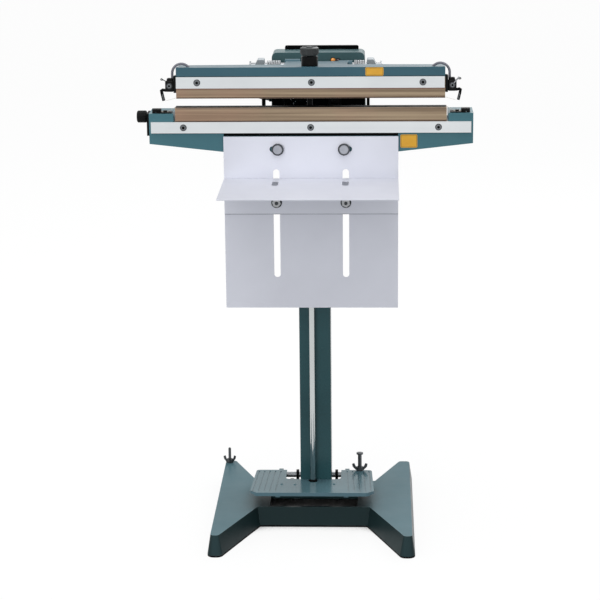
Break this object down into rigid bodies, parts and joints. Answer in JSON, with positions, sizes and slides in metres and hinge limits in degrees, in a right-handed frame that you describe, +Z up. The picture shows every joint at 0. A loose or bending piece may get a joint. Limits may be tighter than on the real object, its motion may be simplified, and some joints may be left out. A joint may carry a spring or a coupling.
{
  "type": "impulse heat sealer",
  "caption": "Foot-pedal impulse heat sealer on a column stand, with long sprung jaws, a pull rod, a control box and an adjustable bag shelf.",
  "frame": {"origin": "on the floor under the middle of the jaws, in line with the column", "axes": "+X along the jaws to the operator's right, +Y away from the operator, +Z up"},
  "size_m": [0.5803, 0.5323, 0.858],
  "materials": {
    "base_paint": "semi-gloss teal-grey paint",
    "column_paint": "gloss dark green paint",
    "body_paint": "semi-gloss teal paint",
    "arm_paint": "semi-gloss teal paint",
    "box_paint": "semi-gloss teal paint",
    "black_steel": "black painted steel",
    "black_panel": "gloss black",
    "rubber_trim": "matte",
    "bolt_steel": "dull zinc",
    "bright_steel": "bright turned",
    "rod_chrome": "polished",
    "jaw_aluminium": "milled",
    "strip_aluminium": "satin",
    "sheet_paint": "smooth pale powder coat",
    "knob_grey": "satin grey",
    "silicone": "matte",
    "ribbon_alloy": "rolled strip",
    "ptfe_cloth": "coated glass weave",
    "black_plastic": "moulded",
    "sleeve_plastic": "gloss",
    "cap_grey": "knurled dark grey",
    "rocker_black": "gloss",
    "lamp_amber": "translucent lens",
    "bush_bronze": "bronze",
    "core_steel": "stacked laminations",
    "coil_tape": "taped winding",
    "board_green": "solder mask",
    "lead_grey": "smooth jacket",
    "label_yellow": "printed film, bare"
  },
  "bodies": {
    "stand": {"base_shell": "base_paint", "base_edge_trim": "rubber_trim", "column": "column_paint", "frame_bolts": "bolt_steel", "pedal_brackets": "black_steel", "pedal_shaft": "bright_steel", "levelling_screw": "bolt_steel", "lower_body": "body_paint", "rod_guide_bush": "bush_bronze", "lower_jaw_bar": "jaw_aluminium", "lower_silicone_pad": "silicone", "lower_heating_ribbon": "ribbon_alloy", "lower_ptfe_cloth": "ptfe_cloth", "lower_clamp_strip": "strip_aluminium", "lower_strip_screws": "bolt_steel", "lower_terminals": "black_plastic", "lower_label": "label_yellow", "end_plate": "black_steel", "work_plate": "sheet_paint", "pivot_uprights": "black_steel", "pivot_bearings": "base_paint", "pivot_shaft": "bright_steel", "return_springs": "bolt_steel", "microswitch": "black_steel", "control_box_shell": "box_paint", "control_box_rear_cover": "box_paint", "box_top_rail": "black_panel", "case_screws": "bolt_steel", "front_panel": "black_panel", "transformer_core": "core_steel", "transformer_coil": "coil_tape", "timer_board": "board_green", "power_switch": "black_plastic", "pilot_lamps": "lamp_amber", "inlet_gland": "black_plastic"},
    "arm": {"upper_arm": "arm_paint", "upper_jaw_bar": "jaw_aluminium", "upper_heating_ribbon": "ribbon_alloy", "upper_ptfe_cloth": "ptfe_cloth", "upper_clamp_strip": "strip_aluminium", "upper_strip_screws": "bolt_steel", "upper_terminals": "black_plastic", "heater_leads": "lead_grey", "upper_label": "label_yellow", "spring_sleeve": "sleeve_plastic"},
    "rod": {"pull_rod": "rod_chrome", "rod_nuts": "bright_steel", "buffer_spring": "bolt_steel"},
    "cap": {"pressure_cap": "cap_grey"},
    "pedal": {"pedal_plate": "base_paint", "limit_screw": "bolt_steel"},
    "limit_nut": {"limit_wing_nut": "bolt_steel"},
    "levelling_nut": {"levelling_wing_nut": "bolt_steel"},
    "clamp_knob_left": {"work_plate_knob_left": "knob_grey"},
    "clamp_knob_right": {"work_plate_knob_right": "knob_grey"},
    "shelf": {"shelf_bracket": "sheet_paint", "shelf_nuts": "bright_steel"},
    "end_grip": {"end_knob": "black_plastic"},
    "timer_dial": {"timer_knob": "black_plastic"},
    "rocker": {"power_rocker": "rocker_black"}
  },
  "joints": [
    {"name": "arm_close", "type": "hinge", "parent": "stand", "child": "arm", "pos_m": [0, 0.118, 0.801], "axis": [1, 0, 0], "range_deg": [0, 4.8], "stiffness_Nm_per_rad": 30, "springref_deg": -14.32},
    {"name": "rod_pull", "type": "slide", "parent": "stand", "child": "rod", "axis": [0, 0, -1], "range_m": [0, 0.01334]},
    {"name": "pressure_cap_turn", "type": "hinge", "parent": "rod", "child": "cap", "pos_m": [-0.002, -0.039, 0.85], "axis": [0, 0, 1], "continuous": true},
    {"name": "pedal_press", "type": "hinge", "parent": "stand", "child": "pedal", "pos_m": [-0.002, 0.045, 0.052], "axis": [1, 0, 0], "range_deg": [0, 8.98]},
    {"name": "limit_nut_turn", "type": "hinge", "parent": "pedal", "child": "limit_nut", "pos_m": [0.082, 0.02869, 0.06614], "axis": [0, 0.0506, 0.9987], "continuous": true},
    {"name": "levelling_nut_turn", "type": "hinge", "parent": "stand", "child": "levelling_nut", "pos_m": [-0.1675, 0.158, 0.036], "axis": [0, 0, 1], "continuous": true},
    {"name": "clamp_knob_left_turn", "type": "hinge", "parent": "stand", "child": "clamp_knob_left", "pos_m": [-0.057, -0.073, 0.6855], "axis": [0, 1, 0], "continuous": true},
    {"name": "clamp_knob_right_turn", "type": "hinge", "parent": "stand", "child": "clamp_knob_right", "pos_m": [0.057, -0.073, 0.6855], "axis": [0, 1, 0], "continuous": true},
    {"name": "shelf_height", "type": "slide", "parent": "stand", "child": "shelf", "axis": [0, 0, 1], "range_m": [-0.125, 0.035]},
    {"name": "end_knob_turn", "type": "hinge", "parent": "stand", "child": "end_grip", "pos_m": [-0.2785, -0.042, 0.738], "axis": [1, 0, 0], "continuous": true},
    {"name": "timer_turn", "type": "hinge", "parent": "stand", "child": "timer_dial", "pos_m": [-0.025, 0.154, 0.742], "axis": [0, 1, 0], "range_deg": [-140, 140]},
    {"name": "power_rock", "type": "hinge", "parent": "stand", "child": "rocker", "pos_m": [0.037, 0.153, 0.74], "axis": [1, 0, 0], "range_deg": [0, 16]}
  ],
  "couplings": [
    {"joint": "rod_pull", "follows": "arm_close", "m_per_rad": 0.15569},
    {"joint": "pedal_press", "follows": "arm_close", "ratio": 1.8396}
  ]
}
